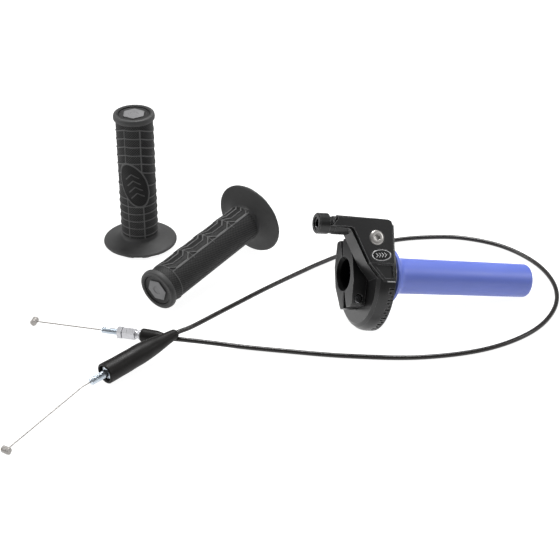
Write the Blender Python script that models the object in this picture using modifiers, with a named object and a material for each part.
"""Twist throttle kit for a 22 mm motorcycle handlebar, laid out on a bench.

The kit is a machined throttle housing with its twist tube, a loose throttle cable,
and a pair of rubber grips. Everything is in metres, +Z is up, and the bench is z = 0.

The throttle is drawn in its own frame, whose X axis is the handlebar's axis:
x = 0 is the outer face of the bar clamp and the tube's tip is at the far end.
-Y is its front, where the cable cover is, and +Z points to the cable's inlet arm.
"""

import math

import bmesh
import bpy
from mathutils import Matrix, Vector

MM = 0.001
GAP = 0.3 * MM  # running clearance, and the gap left between pieces that touch

# ---------------------------------------------------------------- driving sizes

BAR_R = 11.1 * MM  # a 22.2 mm handlebar
BAR_CHAMFER = 2.4 * MM
CLAMP_LENGTH = 11 * MM
CLAMP_FRONT_WIDTH = 18.5 * MM
CLAMP_BACK_WIDTH = 16 * MM
CLAMP_HALF_HEIGHT = 26.3 * MM
CLAMP_SCREW_X = 5.5 * MM
CLAMP_SCREW_Z = 21.4 * MM
CLAMP_SEAT_Y = -9.6 * MM
CLAMP_HEAD_R = 3.2 * MM
CLAMP_SHANK_R = 2 * MM

DRUM_R = 41 * MM
DRUM_DROP = 2 * MM  # the drum's rim is centred this far below the bar's axis
DRUM_FRONT_X = 11.6 * MM
DRUM_BACK_X = 25 * MM
DRUM_WALL_X = 17.2 * MM  # inside of the drum's front wall
DRUM_BORE_R = 31 * MM
END_PLATE_T = 2 * MM
END_PLATE_X = DRUM_BACK_X + GAP
END_PLATE_R = 36.6 * MM
BOSS_R = 20 * MM
BOSS_END_X = 35.6 * MM

REEL_X = 22 * MM  # plane of the cable groove
REEL_GROOVE_R = 27 * MM  # radius of the cable's centre line
REEL_R = 28.6 * MM
REEL_HALF_WIDTH = 2.1 * MM

FRONT_Y = -38.4 * MM  # face of the cable cover
SEAT_Y = -35.6 * MM  # face of the housing behind the cover
BLOCK_BACK_Y = -20.5 * MM
# The block's top falls slightly from the arm to the drum's back.
BLOCK_TOP_Z = 37 * MM
BLOCK_TOP_END_Z = 35.2 * MM
COVER_FOOT_Z = 1.5 * MM
CABLE_Y = -REEL_GROOVE_R
ARM_Z = 32.3 * MM
ARM_R = 6.9 * MM
ARM_DROP = 0.9 * MM  # the arm's outside is centred this far below its bore
COLLAR_R = 7.9 * MM
ARM_END_X = -32.6 * MM
ARM_BORE_R = 5.1 * MM

ROLLER_X = 11.6 * MM
ROLLER_Z = 21 * MM
ROLLER_R = 10.8 * MM
ROLLER_POCKET_R = 12.2 * MM

TUBE_JOURNAL_R = 13.9 * MM
TUBE_BORE_R = 11.7 * MM
TUBE_START_X = 17.8 * MM
FLANGE_X = 37 * MM
FLANGE_R = 21 * MM
TUBE_R = 13.8 * MM
TUBE_TIP_R = 13.2 * MM
TUBE_TIP_X = 159.5 * MM
TUBE_ROUND = 3 * MM

GRIP_LENGTH = 121 * MM
GRIP_R = 15.5 * MM
GRIP_CAP_R = 17.2 * MM
GRIP_FLANGE_R = 31 * MM
LEFT_GRIP_BORE_R = 10.9 * MM
RIGHT_GRIP_BORE_R = 13.6 * MM

CASING_R = 1.8 * MM
WIRE_R = 0.55 * MM
WIRE_BORE_R = 0.9 * MM
# How far each end's wire reaches in past its tip, and slides further in.
WIRE_HIDDEN_A, WIRE_TRAVEL_A = 32 * MM, 5 * MM
WIRE_HIDDEN_B, WIRE_TRAVEL_B = 8 * MM, 30 * MM

# ------------------------------------------------------------ places on the bench

# The kit's outline is centred on the origin by this shift.
CENTRE = Vector((14.9 * MM, -70.5 * MM, 0))

THROTTLE_AT = (48.3 * MM, -67.9 * MM)
THROTTLE_TURN = math.radians(17.5)
THROTTLE_LEAN = math.radians(40)  # the inlet arm leans back from upright
# The drum's back rim and the tube's tip both rest on the bench.
TIP_REST_X = TUBE_TIP_X - TUBE_ROUND
DRUM_REACH = DRUM_R + DRUM_DROP * math.cos(THROTTLE_LEAN)
THROTTLE_TILT = math.atan2(DRUM_REACH - TUBE_TIP_R, TIP_REST_X - DRUM_BACK_X)

LEFT_GRIP_AT = (-118.5 * MM, 62 * MM)
RIGHT_GRIP_CAP_AT = (-97.3 * MM, -43.8 * MM)
RIGHT_GRIP_TURN = math.radians(52)

# Throttle end of the cable: a straight line through its long boot.
BOOT_CENTRE = Vector((-104 * MM, -122 * MM, 10.2 * MM))
THROTTLE_END_TURN = math.radians(44.3)
THROTTLE_END_RISE = math.radians(3.1)
# Carburettor end of the cable: a straight line from its nipple to its short boot.
CARB_NIPPLE = Vector((-191 * MM, -67.6 * MM, 3.8 * MM))
CARB_END_TURN = math.radians(-14.8)
CARB_END_RISE = math.radians(1.2)

# Distances along each end's line, from BOOT_CENTRE or CARB_NIPPLE.
FERRULE_TIP_A = -48 * MM
WIRE_BEND_A = -55 * MM
NIPPLE_A = (-136.4 * MM, -17.9 * MM)  # the bare wire bends aside past the ferrule
CASING_START_A = -29 * MM
STRAIGHT_END_A = 38 * MM
STUD_TIP_B = 56 * MM
LOCK_NUT_B = (69.2 * MM, 72.8 * MM)
BARREL_B = (73.3 * MM, 83.4 * MM)
CASING_START_B = 85.4 * MM
STRAIGHT_END_B = 109 * MM

# The loop between the two ends, lying on the bench (x, y, z in mm).
LOOP = (
    (-68.7, -88.4, 11.5),
    (-58.9, -77.4, 10.5),
    (-46, -62.1, 9.1),
    (-31, -44.3, 7.3),
    (-16, -26.5, 5.5),
    (0, -9.1, 4),
    (16.2, 7.3, 2.9),
    (34.1, 24, 2.1),
    (62, 45, 1.9),
    (92, 60, 1.9),
    (122, 66.5, 1.9),
    (155, 65.7, 1.9),
    (188.2, 50.9, 1.9),
    (212.8, 21.9, 1.9),
    (222.4, -13.7, 1.9),
    (215.8, -48.8, 1.9),
    (193.5, -80.5, 1.9),
    (155.2, -104.1, 1.9),
    (105, -114.8, 1.9),
    (50, -113, 1.9),
    (0, -105.7, 1.9),
    (-27.9, -101.2, 2.2),
    (-49.9, -99.8, 4.6),
    (-73.1, -97.4, 6.2),
)

# ---------------------------------------------------------------------- finishes

FINISHES = {
    # name: (colour, roughness, metallic)
    "black_anodised": ((0.030, 0.031, 0.033), 0.42, 0.6),
    "blue_tube": ((0.105, 0.150, 0.640), 0.45, 0.0),
    "grip_rubber": ((0.022, 0.022, 0.023), 0.75, 0.0),
    "grip_plug": ((0.035, 0.035, 0.036), 0.6, 0.0),
    "grip_emblem": ((0.23, 0.23, 0.235), 0.5, 0.0),
    "boot_rubber": ((0.020, 0.018, 0.017), 0.55, 0.0),
    "casing_plastic": ((0.020, 0.019, 0.019), 0.45, 0.0),
    "zinc_steel": ((0.60, 0.64, 0.68), 0.30, 1.0),
    "bright_alloy": ((0.78, 0.78, 0.80), 0.28, 1.0),
    "steel_screw": ((0.62, 0.60, 0.57), 0.32, 1.0),
    "black_steel": ((0.04, 0.04, 0.042), 0.35, 0.8),
    "wire_steel": ((0.66, 0.64, 0.62), 0.35, 1.0),
    "white_nylon": ((0.75, 0.74, 0.70), 0.5, 0.0),
    "reel_plastic": ((0.06, 0.06, 0.065), 0.5, 0.0),
    "badge_plate": ((0.05, 0.05, 0.052), 0.35, 0.3),
}


def make_finish(name):
    colour, roughness, metallic = FINISHES[name]
    finish = bpy.data.materials.get(name) or bpy.data.materials.new(name)
    finish.use_nodes = True
    shader = finish.node_tree.nodes["Principled BSDF"]
    shader.inputs["Base Color"].default_value = (*colour, 1)
    shader.inputs["Roughness"].default_value = roughness
    shader.inputs["Metallic"].default_value = metallic
    finish.diffuse_color = (*colour, 1)
    return finish


# ----------------------------------------------------------------- scene set-up

for old in list(bpy.data.objects):
    bpy.data.objects.remove(old, do_unlink=True)

KIT = bpy.data.collections.new("throttle_kit")
HELPERS = bpy.data.collections.new("cutters")
for made in (KIT, HELPERS):
    bpy.context.scene.collection.children.link(made)


def frame(name, matrix, parent=None):
    """An empty that holds a group of pieces; matrix is its place in its parent."""
    empty = bpy.data.objects.new(name, None)
    KIT.objects.link(empty)
    empty.parent = parent
    empty.matrix_basis = matrix
    return empty


def on_line(point, turn, rise):
    """A frame whose +X runs along a line on the bench, turned about Z and rising."""
    return (
        Matrix.Translation(point)
        @ Matrix.Rotation(turn, 4, "Z")
        @ Matrix.Rotation(-rise, 4, "Y")
    )


# ------------------------------------------------------------------ shape makers


def place(obj, group, finish=None):
    """Puts a new object in its group, as a piece with a finish or as a hidden helper."""
    obj.parent = group
    if finish:
        KIT.objects.link(obj)
        obj.data.materials.append(make_finish(finish))
    else:
        HELPERS.objects.link(obj)
        obj.hide_render = True
        obj.display_type = "WIRE"
    return obj


def smooth(obj, angle=math.radians(35)):
    obj.data.shade_smooth()
    obj.data.set_sharp_from_angle(angle=angle)
    return obj


def aligned(direction, at):
    """The matrix that stands local +Z along a direction, at a point."""
    turn = Vector(direction).to_track_quat("Z", "Y").to_matrix().to_4x4()
    return Matrix.Translation(at) @ turn


def box(name, low, high, group, finish=None):
    mesh = bpy.data.meshes.new(name)
    shape = bmesh.new()
    bmesh.ops.create_cube(shape, size=1)
    low, high = Vector(low), Vector(high)
    bmesh.ops.scale(shape, verts=shape.verts, vec=high - low)
    bmesh.ops.translate(shape, verts=shape.verts, vec=(low + high) / 2)
    shape.to_mesh(mesh)
    shape.free()
    return place(bpy.data.objects.new(name, mesh), group, finish)


def rod(name, start, end, radius, group, finish=None, sides=24, end_radius=None):
    """A cylinder, cone or prism from start to end."""
    start, end = Vector(start), Vector(end)
    mesh = bpy.data.meshes.new(name)
    shape = bmesh.new()
    bmesh.ops.create_cone(
        shape,
        cap_ends=True,
        segments=sides,
        radius1=radius,
        radius2=radius if end_radius is None else end_radius,
        depth=(end - start).length,
    )
    shape.to_mesh(mesh)
    shape.free()
    obj = bpy.data.objects.new(name, mesh)
    obj.matrix_basis = aligned(end - start, (start + end) / 2)
    return place(obj, group, finish)


def turned(name, outline, group, finish=None, axis=(1, 0, 0), at=(0, 0, 0), steps=32):
    """A turned shape. The outline's (height, radius) points run down the outer side,
    from the top, and back up the inner side; a shape with no bore ends on the axis."""
    mesh = bpy.data.meshes.new(name)
    points = [(radius, 0, height) for height, radius in outline]
    edges = [(i, i + 1) for i in range(len(points) - 1)]
    if outline[0][1] > 0:
        edges.append((len(points) - 1, 0))
    mesh.from_pydata(points, edges, [])
    obj = bpy.data.objects.new(name, mesh)
    obj.matrix_basis = aligned(axis, at)
    screw = obj.modifiers.new("turn", "SCREW")
    screw.steps = screw.render_steps = steps
    screw.use_merge_vertices = True
    screw.merge_threshold = 0.01 * MM
    screw.use_smooth_shade = False
    return place(obj, group, finish)


def prism(name, outline, plane, low, high, group, finish=None):
    """A flat outline given a thickness. Plane "xz" lies across Y, and "yz" across X."""
    curve = bpy.data.curves.new(name, "CURVE")
    curve.dimensions = "2D"
    curve.fill_mode = "BOTH"
    curve.extrude = (high - low) / 2
    spline = curve.splines.new("POLY")
    spline.points.add(len(outline) - 1)
    for point, (u, v) in zip(spline.points, outline):
        point.co = (u, v, 0, 1)
    spline.use_cyclic_u = True
    middle = (high + low) / 2
    quarter = Matrix.Rotation(math.pi / 2, 4, "X")
    if plane == "xz":
        matrix = Matrix.Translation((0, middle, 0)) @ quarter
    else:
        matrix = (
            Matrix.Translation((middle, 0, 0))
            @ Matrix.Rotation(math.pi / 2, 4, "Z")
            @ quarter
        )
    return as_mesh(name, curve, matrix, group, finish)


def as_mesh(name, curve, matrix, group, finish=None):
    """Turns a curve into a closed mesh object, with its caps welded on."""
    guide = bpy.data.objects.new(name + "_curve", curve)
    HELPERS.objects.link(guide)
    graph = bpy.context.evaluated_depsgraph_get()
    mesh = bpy.data.meshes.new_from_object(guide.evaluated_get(graph))
    bpy.data.objects.remove(guide)
    mesh.materials.clear()
    shape = bmesh.new()
    shape.from_mesh(mesh)
    bmesh.ops.remove_doubles(shape, verts=shape.verts, dist=0.002 * MM)
    bmesh.ops.recalc_face_normals(shape, faces=shape.faces)
    shape.to_mesh(mesh)
    shape.free()
    mesh.name = name
    obj = bpy.data.objects.new(name, mesh)
    obj.matrix_basis = matrix
    return place(obj, group, finish)


def combine(obj, other, operation):
    step = obj.modifiers.new(operation.lower() + "_" + other.name, "BOOLEAN")
    step.operation = operation
    step.object = other
    step.solver = "EXACT"
    return obj


def cut(obj, *others):
    for other in others:
        combine(obj, other, "DIFFERENCE")
    return obj


def join(obj, *others):
    for other in others:
        combine(obj, other, "UNION")
    return obj


def ring_points(radius, count, start=0.0, sweep=2 * math.pi):
    """(y, z) points on an arc about the bar axis, angles measured from +Y towards +Z."""
    return [
        (
            radius * math.cos(start + sweep * i / count),
            radius * math.sin(start + sweep * i / count),
        )
        for i in range(count)
    ]


def screw_piece(
    name, at, direction, head_r, head_h, shank_r, length, group, finish, drive_r
):
    """A socket screw. at is the underside of its head; direction points to the head."""
    outline = (
        (head_h, 0),
        (head_h, head_r - 0.4 * MM),
        (head_h - 0.4 * MM, head_r),
        (0, head_r),
        (0, shank_r),
        (-length, shank_r),
        (-length, 0),
    )
    screw = turned(name, outline, group, finish, direction, at, steps=14)
    way = Vector(direction).normalized()
    top = Vector(at) + way * head_h
    socket = rod(
        name + "_socket",
        top - way * head_h * 0.6,
        top + way * MM,
        drive_r,
        group,
        sides=6,
    )
    return cut(screw, socket)


# ------------------------------------------------------------------ the throttle


def throttle_frame(layout):
    """Leans, tilts and turns the throttle so that its drum and tube tip touch the bench."""
    tilt = Matrix.Rotation(THROTTLE_TILT, 4, "Y")
    lean = Matrix.Rotation(-THROTTLE_LEAN, 4, "X")
    height = DRUM_REACH * math.cos(THROTTLE_TILT)
    height += DRUM_BACK_X * math.sin(THROTTLE_TILT)
    turn = Matrix.Rotation(THROTTLE_TURN, 4, "Z")
    at = Matrix.Translation((*THROTTLE_AT, height))
    return frame("throttle", at @ turn @ tilt @ lean, layout)


def clamp_outline(side):
    """Half of the bar clamp, on the -Y side (side -1) or the +Y side. The slit between
    the halves opens out towards the clamp's two ends."""
    slit, mouth = 0.5 * MM, 2.8 * MM
    shoulder = 8 * MM
    tip = 11.5 * MM if side < 0 else 8 * MM
    width = CLAMP_FRONT_WIDTH if side < 0 else CLAMP_BACK_WIDTH
    corner = CLAMP_HALF_HEIGHT - 1.6 * MM
    outline = [
        (slit, 12.5 * MM),
        (mouth, CLAMP_HALF_HEIGHT),
        (tip, CLAMP_HALF_HEIGHT),
        (tip + 1.2 * MM, corner),
        (width, shoulder),
        (width, -shoulder),
        (tip + 1.2 * MM, -corner),
        (tip, -CLAMP_HALF_HEIGHT),
        (mouth, -CLAMP_HALF_HEIGHT),
        (slit, -12.5 * MM),
    ]
    return [(side * y, z) for y, z in outline]


def bar_hole(name, group, end_x):
    """The handlebar's bore through the clamp, chamfered at the outer face."""
    outline = (
        (end_x, 0),
        (end_x, BAR_R),
        (BAR_CHAMFER, BAR_R),
        (-MM, BAR_R + BAR_CHAMFER + MM),
        (-MM, 0),
    )
    return turned(name, outline, group, steps=36)


def block_outline():
    """The housing block that carries the roller, and the pad under the cover's tip."""
    return [
        (-22.6 * MM, 29.1 * MM),
        (-19 * MM, BLOCK_TOP_Z),
        (DRUM_BACK_X - 3.5 * MM, BLOCK_TOP_END_Z),
        (DRUM_BACK_X - 1 * MM, BLOCK_TOP_END_Z - 1 * MM),
        (DRUM_BACK_X, BLOCK_TOP_END_Z - 3.5 * MM),
        (DRUM_BACK_X, -12 * MM),
        (15.4 * MM, -14 * MM),
        (3.6 * MM, 1.6 * MM),
        (-8 * MM, 26.5 * MM),
        (-10 * MM, 27.9 * MM),
    ]


def build_housing(group):
    """Drum, bar clamp's front half, block and inlet arm, machined from one billet."""
    housing = turned(
        "throttle_housing",
        (
            (DRUM_BACK_X, 0),
            (DRUM_BACK_X, DRUM_R),
            (DRUM_FRONT_X + 8 * MM, DRUM_R),
            (DRUM_FRONT_X + 4.8 * MM, DRUM_R - 0.8 * MM),
            (DRUM_FRONT_X + 1.8 * MM, DRUM_R - 2.8 * MM),
            (DRUM_FRONT_X, DRUM_R - 5.5 * MM),
            (DRUM_FRONT_X, 0),
        ),
        group,
        "black_anodised",
        at=(0, 0, -DRUM_DROP),
        steps=48,
    )
    block = prism(
        "block", block_outline(), "xz", SEAT_Y, BLOCK_BACK_Y, group
    )
    chin = prism(
        "chin",
        [
            (5 * MM, COVER_FOOT_Z),
            (DRUM_BACK_X, COVER_FOOT_Z),
            (DRUM_BACK_X, -11.6 * MM),
            (15.8 * MM, -11.8 * MM),
        ],
        "xz",
        FRONT_Y,
        -30 * MM,
        group,
    )
    arm = turned(
        "arm",
        (
            (2 * MM, 0),
            (2 * MM, ARM_R),
            (ARM_END_X + 13 * MM, ARM_R),
            (ARM_END_X + 13 * MM, ARM_R - 0.5 * MM),
            (ARM_END_X + 8 * MM, ARM_R - 0.5 * MM),
            (ARM_END_X + 8 * MM, 0),
        ),
        group,
        at=(0, CABLE_Y, ARM_Z - ARM_DROP),
        steps=24,
    )
    collar = turned(
        "collar",
        (
            (ARM_END_X + 8.8 * MM, 0),
            (ARM_END_X + 8.8 * MM, COLLAR_R),
            (ARM_END_X + 0.8 * MM, COLLAR_R),
            (ARM_END_X, COLLAR_R - 0.8 * MM),
            (ARM_END_X, 0),
        ),
        group,
        at=(0, CABLE_Y, ARM_Z),
        steps=24,
    )
    clamp = prism(
        "clamp_front", clamp_outline(-1), "yz", 0, CLAMP_LENGTH, group
    )
    neck = prism(
        "neck",
        [
            (-1.2 * MM, 21 * MM),
            (-1.2 * MM, -18 * MM),
            (-9 * MM, -18 * MM),
            (-14.6 * MM, -9 * MM),
            (-14.6 * MM, 8 * MM),
            (-21 * MM, 16 * MM),
            (-21 * MM, 24 * MM),
        ],
        "yz",
        CLAMP_LENGTH - 2 * MM,
        DRUM_FRONT_X + MM,
        group,
    )
    join(housing, block, chin, arm, collar, clamp, neck)
    cut(housing, bar_hole("bar_bore", group, DRUM_WALL_X + MM))
    # The drum stands proud of the cover's face, so it is cut back to leave a ledge.
    cover_seat = box(
        "cover_seat",
        (DRUM_FRONT_X - MM, -DRUM_R - MM, COVER_FOOT_Z),
        (DRUM_BACK_X + MM, SEAT_Y, BLOCK_TOP_Z + MM),
        group,
    )
    chin_face = box(
        "chin_face",
        (DRUM_FRONT_X - MM, -DRUM_R - MM, -12.4 * MM),
        (DRUM_BACK_X + MM, FRONT_Y, COVER_FOOT_Z + MM),
        group,
    )
    cut(housing, cover_seat, chin_face)
    cut(
        housing,
        rod(
            "drum_bore",
            (DRUM_WALL_X, 0, 0),
            (DRUM_BACK_X + MM, 0, 0),
            DRUM_BORE_R,
            group,
            sides=48,
        ),
    )
    cut_cable_way(housing, group)
    cut_clamp_holes(housing, group, front=True)
    cut_decoration(housing, group)
    cut_end_plate_holes(housing, group, "housing", 1.2 * MM + GAP, -4 * MM, MM)
    return smooth(housing)


def cut_cable_way(housing, group):
    """The arm's bore, the roller's pocket, and the slot down to the reel."""
    arm_bore = turned(
        "arm_bore",
        (
            (ROLLER_X, 0),
            (ROLLER_X, 2.6 * MM),
            (ARM_END_X + 12 * MM, 2.6 * MM),
            (ARM_END_X + 12 * MM, ARM_BORE_R),
            (ARM_END_X - MM, ARM_BORE_R),
            (ARM_END_X - MM, 0),
        ),
        group,
        at=(0, CABLE_Y, ARM_Z),
        steps=16,
    )
    pocket = rod(
        "roller_pocket",
        (ROLLER_X, SEAT_Y - 0.5 * MM, ROLLER_Z),
        (ROLLER_X, BLOCK_BACK_Y - 2 * MM, ROLLER_Z),
        ROLLER_POCKET_R,
        group,
        sides=28,
    )
    slot = box(
        "cable_slot",
        (REEL_X - 2.2 * MM, SEAT_Y + 0.6 * MM, -3 * MM),
        (REEL_X + 2 * MM, CABLE_Y + 3 * MM, ROLLER_Z),
        group,
    )
    axle = rod(
        "axle_hole",
        (ROLLER_X, SEAT_Y, ROLLER_Z),
        (ROLLER_X, BLOCK_BACK_Y - 0.8 * MM, ROLLER_Z),
        2 * MM + GAP,
        group,
        sides=16,
    )
    cut(housing, arm_bore, pocket, slot, axle)


def cut_clamp_holes(half, group, front):
    """Two screw holes across the clamp; the front half has counterbores."""
    for label, z in (("upper", CLAMP_SCREW_Z), ("lower", -CLAMP_SCREW_Z)):
        side = "front" if front else "back"
        hole = rod(
            f"clamp_hole_{side}_{label}",
            (CLAMP_SCREW_X, -20 * MM, z),
            (CLAMP_SCREW_X, 7.2 * MM, z),
            CLAMP_SHANK_R + GAP,
            group,
            sides=20,
        )
        cut(half, hole)
        if front:
            seat = rod(
                f"clamp_seat_{label}",
                (CLAMP_SCREW_X, -26 * MM, z),
                (CLAMP_SCREW_X, CLAMP_SEAT_Y, z),
                CLAMP_HEAD_R + GAP,
                group,
                sides=24,
            )
            cut(half, seat)


def cut_decoration(housing, group):
    """The sunk panel under the cover, and index notches round the drum's rim."""
    panel = prism(
        "sunk_panel",
        [
            (8.6 * MM, 0.2 * MM),
            (23.8 * MM, 0.2 * MM),
            (23.8 * MM, -9.6 * MM),
            (17.2 * MM, -9.8 * MM),
        ],
        "xz",
        FRONT_Y - MM,
        FRONT_Y + 1.1 * MM,
        group,
    )
    cut(housing, panel)
    notch_depth = 0.9 * MM
    # Long and short notches alternate, as on a graduated rim.
    spans = ((20.2 * MM, 24.2 * MM), (20.2 * MM, 22.5 * MM), (21.9 * MM, 24.2 * MM))
    first, step, count = math.radians(203), math.radians(4), 20
    for i in range(count):
        angle = first + i * step
        low_x, high_x = spans[i % 3]
        notch = box(
            f"rim_notch_{i}",
            (low_x, -0.8 * MM, DRUM_R - notch_depth),
            (high_x, 0.8 * MM, DRUM_R + MM),
            group,
        )
        notch.location.z = -DRUM_DROP
        notch.rotation_euler.x = angle - math.pi / 2
        cut(housing, notch)


def build_clamp_cap(group):
    cap = prism(
        "bar_clamp_cap",
        clamp_outline(1),
        "yz",
        0,
        CLAMP_LENGTH,
        group,
        "black_anodised",
    )
    cut(cap, bar_hole("cap_bore", group, CLAMP_LENGTH + MM))
    cut_clamp_holes(cap, group, front=False)
    for label, z in (("upper", CLAMP_SCREW_Z), ("lower", -CLAMP_SCREW_Z)):
        screw_piece(
            f"clamp_screw_{label}",
            (CLAMP_SCREW_X, CLAMP_SEAT_Y - GAP, z),
            (0, -1, 0),
            CLAMP_HEAD_R,
            3.6 * MM,
            CLAMP_SHANK_R,
            16.6 * MM,
            group,
            "black_steel",
            1.7 * MM,
        )
    return smooth(cap)


def build_cover(group):
    """The cable cover: a flat plate with a chamfered top and an arrow-shaped tip."""
    outline = [
        (-23.5 * MM, 28.8 * MM),
        (-19.2 * MM, 33.6 * MM),
        (-20 * MM, BLOCK_TOP_Z),
        (DRUM_BACK_X - 3.5 * MM, BLOCK_TOP_END_Z),
        (DRUM_BACK_X - 1 * MM, BLOCK_TOP_END_Z - 1 * MM),
        (DRUM_BACK_X, BLOCK_TOP_END_Z - 3.5 * MM),
        (DRUM_BACK_X, COVER_FOOT_Z + GAP),
        (5 * MM, COVER_FOOT_Z + GAP),
        (-6.4 * MM, 26.9 * MM),
        (-8.4 * MM, 28.3 * MM),
    ]
    cover = prism(
        "cable_cover",
        outline,
        "xz",
        FRONT_Y,
        SEAT_Y - GAP,
        group,
        "black_anodised",
    )
    chamfer = 3.4 * MM
    top = prism(
        "cover_chamfer",
        [
            (FRONT_Y - MM, -chamfer - MM),
            (FRONT_Y + chamfer + MM, MM),
            (FRONT_Y - MM, MM),
        ],
        "yz",
        -11 * MM,
        46 * MM,
        group,
    )
    top.location = (-19 * MM, 0, BLOCK_TOP_Z)
    top.rotation_euler.y = math.atan2(BLOCK_TOP_Z - BLOCK_TOP_END_Z, 40.5 * MM)
    seat = rod(
        "screw_seat",
        (ROLLER_X, FRONT_Y - MM, ROLLER_Z),
        (ROLLER_X, FRONT_Y + 1.3 * MM, ROLLER_Z),
        5.75 * MM + GAP,
        group,
        sides=36,
    )
    through = rod(
        "screw_way",
        (ROLLER_X, FRONT_Y, ROLLER_Z),
        (ROLLER_X, SEAT_Y + MM, ROLLER_Z),
        2 * MM + GAP,
        group,
        sides=16,
    )
    pocket = badge_shape("badge_pocket", GAP, FRONT_Y - MM, FRONT_Y + 0.9 * MM, group)
    cut(cover, top, seat, through, pocket)
    return smooth(cover)


def badge_shape(name, margin, low, high, group, finish=None):
    """An oval across Y, on the cover below the roller's screw."""
    half_length, half_height, count = 8.3 * MM, 4.4 * MM, 28
    centre = Vector((14.6 * MM, 7.6 * MM))
    lean = Matrix.Rotation(math.radians(4), 2)
    outline = []
    for i in range(count):
        angle = 2 * math.pi * i / count
        point = Vector(
            (
                (half_length + margin) * math.cos(angle),
                (half_height + margin) * math.sin(angle),
            )
        )
        outline.append(tuple(centre + lean @ point))
    return prism(name, outline, "xz", low, high, group, finish)


def build_roller(group):
    """The grooved cable roller on its bearing. Its origin is on its own axis."""
    centre = (ROLLER_X, CABLE_Y, ROLLER_Z)
    spin = frame("roller_axis", Matrix.Translation(centre), group)
    half, groove = 2.1 * MM, 9.4 * MM
    bore = 4.7 * MM + GAP
    across = (0, -1, 0)
    turned(
        "cable_roller",
        (
            (half, bore),
            (half, ROLLER_R),
            (half - 0.6 * MM, ROLLER_R),
            (0.7 * MM, groove),
            (-0.7 * MM, groove),
            (0.6 * MM - half, ROLLER_R),
            (-half, ROLLER_R),
            (-half, bore),
        ),
        spin,
        "reel_plastic",
        across,
        steps=20,
    )
    turned(
        "roller_bearing",
        (
            (half - 0.3 * MM, 2 * MM + GAP),
            (half - 0.3 * MM, 4.7 * MM),
            (0.3 * MM - half, 4.7 * MM),
            (0.3 * MM - half, 2 * MM + GAP),
        ),
        group,
        "zinc_steel",
        across,
        centre,
        steps=16,
    )
    screw_piece(
        "roller_axle_screw",
        (ROLLER_X, FRONT_Y + 1.3 * MM - GAP, ROLLER_Z),
        across,
        5.75 * MM,
        1.9 * MM,
        2 * MM,
        13.8 * MM,
        group,
        "steel_screw",
        1.9 * MM,
    )


def end_plate_outline():
    """A circle with the back end of the block standing on it."""
    inner = math.acos(BLOCK_BACK_Y / END_PLATE_R)
    outer = math.acos(SEAT_Y / END_PLATE_R)
    arc = ring_points(END_PLATE_R, 40, outer, 2 * math.pi - outer + inner)
    top = BLOCK_TOP_END_Z - 3.5 * MM
    return arc + [
        (BLOCK_BACK_Y, END_PLATE_R * math.sin(inner)),
        (BLOCK_BACK_Y, top),
        (SEAT_Y, top),
    ]


END_SCREWS = tuple(
    (33.8 * MM * math.cos(math.radians(a)), 33.8 * MM * math.sin(math.radians(a)))
    for a in (65, 335, 245)
) + ((-24.2 * MM, 28.9 * MM),)


def cut_end_plate_holes(obj, group, label, radius, low, high):
    """Four screw holes along X, measured from the drum's back face."""
    for i, (y, z) in enumerate(END_SCREWS):
        hole = rod(
            f"end_hole_{label}_{i}",
            (DRUM_BACK_X + low, y, z),
            (DRUM_BACK_X + high, y, z),
            radius,
            group,
            sides=16,
        )
        cut(obj, hole)


def build_end_plate(group):
    plate_back = END_PLATE_X + END_PLATE_T
    plate = prism(
        "housing_end_plate",
        end_plate_outline(),
        "yz",
        END_PLATE_X,
        plate_back,
        group,
        "black_anodised",
    )
    boss = turned(
        "end_boss",
        (
            (BOSS_END_X, 0),
            (BOSS_END_X, BOSS_R - MM),
            (BOSS_END_X - MM, BOSS_R),
            (plate_back + 1.5 * MM, BOSS_R),
            (plate_back - 0.5 * MM, BOSS_R + 2.4 * MM),
            (plate_back - MM, 0),
        ),
        group,
        steps=32,
    )
    join(plate, boss)
    bore = rod(
        "journal_bore",
        (DRUM_BACK_X, 0, 0),
        (BOSS_END_X + MM, 0, 0),
        TUBE_JOURNAL_R + GAP,
        group,
        sides=32,
    )
    cut(plate, bore)
    cut_end_plate_holes(plate, group, "plate", 1.2 * MM + GAP, -MM, 4 * MM)
    for i, (y, z) in enumerate(END_SCREWS):
        screw_piece(
            f"end_plate_screw_{i + 1}",
            (plate_back + GAP, y, z),
            (1, 0, 0),
            2.6 * MM,
            1.8 * MM,
            1.2 * MM,
            5.4 * MM,
            group,
            "black_steel",
            1.2 * MM,
        )
    return smooth(plate)


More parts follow.
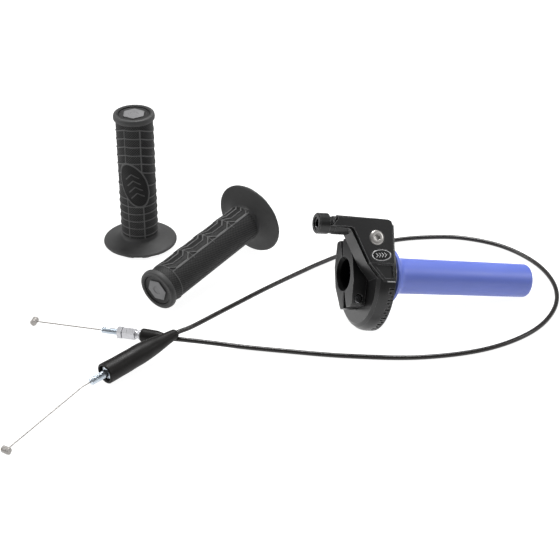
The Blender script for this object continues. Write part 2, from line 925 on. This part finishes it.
def build_twist(group):
    """The twist tube, the reel keyed to it, and the washers at each end."""
    twist = frame("twist_axis", Matrix.Identity(4), group)
    cone = 5.5 * MM
    tube = turned(
        "throttle_tube",
        (
            (TUBE_TIP_X, 0),
            (TUBE_TIP_X, TUBE_TIP_R - TUBE_ROUND),
            (TUBE_TIP_X - 0.29 * TUBE_ROUND, TUBE_TIP_R - 0.29 * TUBE_ROUND),
            (TUBE_TIP_X - TUBE_ROUND, TUBE_TIP_R),
            (FLANGE_X + 2.4 * MM + cone, TUBE_R),
            (FLANGE_X + 2.4 * MM + 0.3 * cone, TUBE_R + 0.3 * (FLANGE_R - TUBE_R)),
            (FLANGE_X + 2.4 * MM, FLANGE_R - 0.6 * MM),
            (FLANGE_X + 1.8 * MM, FLANGE_R),
            (FLANGE_X, FLANGE_R),
            (FLANGE_X, TUBE_JOURNAL_R),
            (TUBE_START_X, TUBE_JOURNAL_R),
            (TUBE_START_X, TUBE_BORE_R),
            (TUBE_TIP_X - 3 * MM, TUBE_BORE_R - 0.6 * MM),
            (TUBE_TIP_X - 3 * MM, 0),
        ),
        twist,
        "blue_tube",
        steps=32,
    )
    reel_low = REEL_X - 3.4 * MM
    reel_high = REEL_X + 2.7 * MM
    hub = 18.5 * MM
    web = 1.5 * MM
    side = REEL_HALF_WIDTH
    reel = turned(
        "cable_reel",
        (
            (reel_high, TUBE_JOURNAL_R + GAP),
            (reel_high, hub),
            (REEL_X + web, hub),
            (REEL_X + web, REEL_GROOVE_R - 4 * MM),
            (REEL_X + side, REEL_GROOVE_R - 3 * MM),
            (REEL_X + side, REEL_R),
            (REEL_X + side - 0.5 * MM, REEL_R),
            (REEL_X + 0.9 * MM, REEL_GROOVE_R - 0.9 * MM),
            (REEL_X - 0.9 * MM, REEL_GROOVE_R - 0.9 * MM),
            (REEL_X - side + 0.5 * MM, REEL_R),
            (REEL_X - side, REEL_R),
            (REEL_X - side, REEL_GROOVE_R - 3 * MM),
            (REEL_X - web, REEL_GROOVE_R - 4 * MM),
            (REEL_X - web, hub),
            (reel_low, hub),
            (reel_low, TUBE_JOURNAL_R + GAP),
        ),
        twist,
        "reel_plastic",
        steps=32,
    )
    key_half, key_top = 1.5 * MM, 15.6 * MM
    for i in range(4):
        turn = math.pi / 4 + i * math.pi / 2
        key = box(
            f"key_{i}",
            (REEL_X - 3 * MM, -key_half, TUBE_JOURNAL_R - 0.8 * MM),
            (REEL_X + 2.4 * MM, key_half, key_top),
            twist,
        )
        slot = box(
            f"key_slot_{i}",
            (reel_low - MM, -key_half - GAP, TUBE_JOURNAL_R - MM),
            (reel_high + MM, key_half + GAP, key_top + GAP),
            twist,
        )
        key.rotation_euler.x = slot.rotation_euler.x = turn
        join(tube, key)
        cut(reel, slot)
    # The pocket where the cable's nipple hooks in, and the wire's way out of it.
    anchor = math.radians(205)
    nipple_r = 2.9 * MM
    anchor_at = Vector(
        (0, REEL_GROOVE_R * math.cos(anchor), REEL_GROOVE_R * math.sin(anchor))
    )
    across = Vector((10 * MM, 0, 0))
    centre = anchor_at + Vector((REEL_X, 0, 0))
    pocket = rod("nipple_pocket", centre - across, centre + across, nipple_r, twist, sides=20)
    cut(reel, pocket)
    for i in range(5):
        angle = math.radians(60 * i + 265)
        hole_at = Vector((REEL_X, 22 * MM * math.cos(angle), 22 * MM * math.sin(angle)))
        cut(reel, rod(f"web_hole_{i}", hole_at - across, hole_at + across, 1.9 * MM, twist, sides=12))
    washer_in = 14.6 * MM
    turned(
        "inner_thrust_washer",
        (
            (DRUM_WALL_X + GAP + 0.8 * MM, washer_in),
            (DRUM_WALL_X + GAP + 0.8 * MM, 20 * MM),
            (DRUM_WALL_X + GAP, 20 * MM),
            (DRUM_WALL_X + GAP, washer_in),
        ),
        group,
        "white_nylon",
        steps=20,
    )
    turned(
        "outer_thrust_washer",
        (
            (FLANGE_X - GAP, washer_in),
            (FLANGE_X - GAP, 18 * MM),
            (BOSS_END_X + GAP, 18 * MM),
            (BOSS_END_X + GAP, washer_in),
        ),
        group,
        "white_nylon",
        steps=20,
    )
    smooth(tube)
    smooth(reel)


def build_throttle(layout):
    group = throttle_frame(layout)
    build_housing(group)
    build_clamp_cap(group)
    build_cover(group)
    badge_shape(
        "oval_badge",
        0,
        FRONT_Y - 0.25 * MM,
        FRONT_Y + 0.6 * MM,
        group,
        "badge_plate",
    )
    build_roller(group)
    build_end_plate(group)
    build_twist(group)
    turned(
        "cable_inlet_bush",
        (
            (ARM_END_X + 11.6 * MM, 2.6 * MM),
            (ARM_END_X + 11.6 * MM, ARM_BORE_R - GAP),
            (ARM_END_X + 1 * MM, ARM_BORE_R - GAP),
            (ARM_END_X + 1 * MM, 3.4 * MM),
            (ARM_END_X + 9 * MM, 3.4 * MM),
            (ARM_END_X + 9 * MM, 2.6 * MM),
        ),
        group,
        "black_steel",
        at=(0, CABLE_Y, ARM_Z),
        steps=16,
    )


# --------------------------------------------------------------------- the cable


def hexagon_rod(name, low, high, flats, group, finish):
    radius = flats / 2 / math.cos(math.pi / 6)
    return rod(name, (low, 0, 0), (high, 0, 0), radius, group, finish, sides=6)


def build_wire(label, hidden_x, bend_x, nipple_at, group):
    """An inner wire's end: what slides inside, its bare length, and its nipple."""
    inner, corner = Vector((hidden_x, 0, 0)), Vector((bend_x, 0, 0))
    nipple_at = Vector((*nipple_at, 0))
    outward = (nipple_at - corner).normalized()
    entry, leave = corner + Vector((1.5 * MM, 0, 0)), corner + outward * 1.5 * MM
    bend = [
        entry * (1 - t) ** 2 + corner * 2 * t * (1 - t) + leave * t**2
        for t in (0, 0.25, 0.5, 0.75, 1)
    ]
    end = nipple_at + outward * 2.2 * MM
    as_mesh(
        f"inner_wire_{label}",
        round_curve(f"inner_wire_{label}", [inner, *bend, end], WIRE_R),
        Matrix.Identity(4),
        group,
        "wire_steel",
    )
    across = Vector((-outward.y, outward.x, 0)) * 3.2 * MM
    nipple = rod(
        f"nipple_{label}",
        nipple_at - across,
        nipple_at + across,
        2.7 * MM,
        group,
        "wire_steel",
        sides=20,
    )
    hole = rod(
        f"nipple_hole_{label}",
        nipple_at - outward * 4 * MM,
        nipple_at + outward * 4 * MM,
        WIRE_BORE_R,
        group,
        sides=12,
    )
    cut(nipple, hole)
    smooth(nipple)


def round_curve(name, path, radius):
    """A curve with a round section and closed ends, straight from point to point."""
    curve = bpy.data.curves.new(name, "CURVE")
    curve.dimensions = "3D"
    curve.bevel_depth = radius
    curve.bevel_resolution = 2
    curve.use_fill_caps = True
    spline = curve.splines.new("POLY")
    spline.points.add(len(path) - 1)
    for point, at in zip(spline.points, path):
        point.co = (*at, 1)
    return curve


def build_throttle_end(group):
    """The cable's end for the throttle: ferrule, long boot, wire and nipple."""
    tip = FERRULE_TIP_A
    turned(
        "cable_ferrule",
        (
            (CASING_START_A + 13 * MM, CASING_R + GAP),
            (CASING_START_A + 13 * MM, 2.9 * MM),
            (tip + 19 * MM, 2.9 * MM),
            (tip + 19 * MM, 5 * MM),
            (tip + 15 * MM, 5 * MM),
            (tip + 15 * MM, 2.9 * MM),
            (tip + 0.6 * MM, 2.9 * MM),
            (tip, 2.3 * MM),
            (tip, WIRE_BORE_R),
            (CASING_START_A - GAP, WIRE_BORE_R),
            (CASING_START_A - GAP, CASING_R + GAP),
        ),
        group,
        "zinc_steel",
        steps=16,
    )
    turned(
        "long_boot",
        (
            (35 * MM, CASING_R + GAP),
            (35 * MM, 3.2 * MM),
            (34.2 * MM, 3.9 * MM),
            (22 * MM, 5.2 * MM),
            (8 * MM, 7.2 * MM),
            (0, 7.9 * MM),
            (-12 * MM, 8.1 * MM),
            (-33.8 * MM, 8.2 * MM),
            (-35 * MM, 7.6 * MM),
            (-35 * MM, 6.3 * MM),
            (3 * MM, 6 * MM),
            (12 * MM, CASING_R + GAP),
        ),
        group,
        "boot_rubber",
        steps=20,
    )
    build_wire("throttle_end", tip + WIRE_HIDDEN_A, WIRE_BEND_A, NIPPLE_A, group)


def build_carb_end(group):
    """The cable's end for the carburettor: stud, lock nut, adjuster, cap and boot."""
    turned(
        "adjuster_stud",
        (
            (BARREL_B[1] - 2 * MM, WIRE_BORE_R),
            (BARREL_B[1] - 2 * MM, 2.4 * MM),
            (STUD_TIP_B + 0.5 * MM, 2.4 * MM),
            (STUD_TIP_B, 1.9 * MM),
            (STUD_TIP_B, WIRE_BORE_R),
        ),
        group,
        "zinc_steel",
        steps=16,
    )
    for name, (low, high), flats in (
        ("adjuster_lock_nut", LOCK_NUT_B, 9 * MM),
        ("adjuster_barrel", BARREL_B, 8.4 * MM),
    ):
        piece = hexagon_rod(name, low, high, flats, group, "bright_alloy")
        bore = rod(
            name + "_bore",
            (low - MM, 0, 0),
            (high + MM, 0, 0),
            2.4 * MM + GAP,
            group,
            sides=16,
        )
        cut(piece, bore)
    turned(
        "casing_end_cap",
        (
            (CASING_START_B + 5 * MM, CASING_R + GAP),
            (CASING_START_B + 5 * MM, 2.6 * MM),
            (CASING_START_B + 2.2 * MM, 2.6 * MM),
            (CASING_START_B + 2.2 * MM, 4 * MM),
            (CASING_START_B + 1 * MM, 4 * MM),
            (CASING_START_B + 1 * MM, 3.4 * MM),
            (BARREL_B[1] + GAP, 3.4 * MM),
            (BARREL_B[1] + GAP, WIRE_BORE_R),
            (CASING_START_B - GAP, WIRE_BORE_R),
            (CASING_START_B - GAP, CASING_R + GAP),
        ),
        group,
        "bright_alloy",
        steps=16,
    )
    boot = CASING_START_B + 2.2 * MM + GAP
    turned(
        "short_boot",
        (
            (boot + 19.6 * MM, CASING_R + GAP),
            (boot + 19.6 * MM, 2.6 * MM),
            (boot + 18.4 * MM, 3.5 * MM),
            (boot + 12.5 * MM, 5.2 * MM),
            (boot + 1 * MM, 5.4 * MM),
            (boot, 4.8 * MM),
            (boot, 2.6 * MM + GAP),
            (boot + 4 * MM, 2.6 * MM + GAP),
            (boot + 5 * MM, CASING_R + GAP),
        ),
        group,
        "boot_rubber",
        steps=18,
    )
    build_wire("carb_end", STUD_TIP_B + WIRE_HIDDEN_B, STUD_TIP_B / 2, (0, 0), group)


def smooth_path(points, steps):
    """Points on a Catmull-Rom curve through the given ones, ends repeated."""
    padded = [points[0], *points, points[-1]]
    path = []
    for p0, p1, p2, p3 in zip(padded, padded[1:], padded[2:], padded[3:]):
        for i in range(steps):
            t = i / steps
            path.append(
                0.5
                * (
                    2 * p1
                    + (p2 - p0) * t
                    + (2 * p0 - 5 * p1 + 4 * p2 - p3) * t**2
                    + (3 * p1 - p0 - 3 * p2 + p3) * t**3
                )
            )
    path.append(points[-1])
    return path


def build_casing(layout, throttle_end, carb_end):
    """The black cable casing, with the wire's bore opened at each straight end."""
    first, last = throttle_end.matrix_basis, carb_end.matrix_basis
    start = [
        first @ Vector((x, 0, 0)) for x in (CASING_START_A, STRAIGHT_END_A)
    ]
    end = [last @ Vector((x, 0, 0)) for x in (STRAIGHT_END_B, CASING_START_B)]
    loop = [Vector(point) * MM for point in LOOP]
    bend = smooth_path([start[1], *loop, end[0]], 4)
    path = [start[0], *bend, end[1]]
    curve = round_curve("cable_casing", path, CASING_R)
    casing = as_mesh(
        "cable_casing", curve, Matrix.Identity(4), layout, "casing_plastic"
    )
    reach_a = FERRULE_TIP_A + WIRE_HIDDEN_A + WIRE_TRAVEL_A
    reach_b = STUD_TIP_B + WIRE_HIDDEN_B + WIRE_TRAVEL_B
    bores = (
        (throttle_end, CASING_START_A, reach_a),
        (carb_end, CASING_START_B, reach_b),
    )
    for i, (group, casing_x, reach) in enumerate(bores):
        hole = rod(
            f"wire_bore_{i}",
            (casing_x - MM, 0, 0),
            (reach + 2 * MM, 0, 0),
            WIRE_BORE_R,
            group,
            sides=10,
        )
        cut(casing, hole)
    return smooth(casing)


def build_cable(layout):
    throttle_end = frame(
        "throttle_end_line",
        on_line(BOOT_CENTRE, THROTTLE_END_TURN, THROTTLE_END_RISE),
        layout,
    )
    carb_end = frame(
        "carb_end_line",
        on_line(CARB_NIPPLE, CARB_END_TURN, CARB_END_RISE),
        layout,
    )
    build_throttle_end(throttle_end)
    build_carb_end(carb_end)
    build_casing(layout, throttle_end, carb_end)


# --------------------------------------------------------------------- the grips


def build_grip(label, bore_r, matrix, layout):
    """A rubber grip along +X: flange at x = 0, closed cap at the far end."""
    group = frame(label + "_grip_axis", matrix, layout)
    cap = GRIP_LENGTH
    recess = 2.2 * MM
    plug_r = 13.2 * MM
    turned(
        label + "_grip_rubber",
        (
            (cap - 0.6 * MM, plug_r),
            (cap, plug_r + 1 * MM),
            (cap - 0.8 * MM, GRIP_CAP_R - 1.2 * MM),
            (cap - 3 * MM, GRIP_CAP_R),
            (cap - 5.4 * MM, GRIP_CAP_R - 0.3 * MM),
            (cap - 7.2 * MM, GRIP_R),
            (13 * MM, GRIP_R + 0.2 * MM),
            (10 * MM, GRIP_R + 2.4 * MM),
            (7.4 * MM, GRIP_R + 7.4 * MM),
            (5 * MM, GRIP_FLANGE_R - 1 * MM),
            (3.8 * MM, GRIP_FLANGE_R),
            (2.2 * MM, GRIP_FLANGE_R - 0.6 * MM),
            (2 * MM, GRIP_FLANGE_R - 3 * MM),
            (0, GRIP_FLANGE_R - 4 * MM),
            (0, bore_r),
            (cap - 6 * MM, bore_r),
            (cap - 6 * MM, 6 * MM),
            (cap - recess, 6 * MM),
            (cap - recess, plug_r),
        ),
        group,
        "grip_rubber",
        steps=26,
    )
    turned(
        label + "_grip_plug",
        (
            (cap - 0.9 * MM, 9.9 * MM + GAP),
            (cap - 0.9 * MM, plug_r - GAP),
            (cap - recess + GAP, plug_r - GAP),
            (cap - recess + GAP, 6 * MM - GAP),
            (cap - 5 * MM, 6 * MM - GAP),
            (cap - 5 * MM, 0),
            (cap - 1.5 * MM, 0),
            (cap - 1.5 * MM, 9.9 * MM + GAP),
        ),
        group,
        "grip_plug",
        steps=20,
    )
    turned(
        label + "_grip_emblem",
        (
            (cap - 0.7 * MM, 0),
            (cap - 0.7 * MM, 9.4 * MM),
            (cap - 1.2 * MM, 9.9 * MM),
            (cap - 1.5 * MM + GAP, 9.9 * MM),
            (cap - 1.5 * MM + GAP, 0),
        ),
        group,
        "grip_emblem",
        steps=6,
    )


def build_grips(layout):
    upright = Matrix.Rotation(-math.pi / 2, 4, "Y")
    build_grip(
        "left",
        LEFT_GRIP_BORE_R,
        Matrix.Translation((*LEFT_GRIP_AT, 0)) @ upright,
        layout,
    )
    # The other grip lies on the bench, on its cap's rim and its flange's rim.
    slope = math.atan2(GRIP_FLANGE_R - GRIP_CAP_R, GRIP_LENGTH - 7 * MM)
    cap_height = GRIP_CAP_R * math.cos(slope) - 3 * MM * math.sin(slope)
    cap_to_flange = on_line(
        (*RIGHT_GRIP_CAP_AT, cap_height), RIGHT_GRIP_TURN, slope
    )
    from_flange = (
        cap_to_flange
        @ Matrix.Translation((GRIP_LENGTH, 0, 0))
        @ Matrix.Rotation(math.pi, 4, "Z")
    )
    build_grip("right", RIGHT_GRIP_BORE_R, from_flange, layout)


LAYOUT = frame("bench_layout", Matrix.Translation(-CENTRE))
build_throttle(LAYOUT)
build_cable(LAYOUT)
build_grips(LAYOUT)
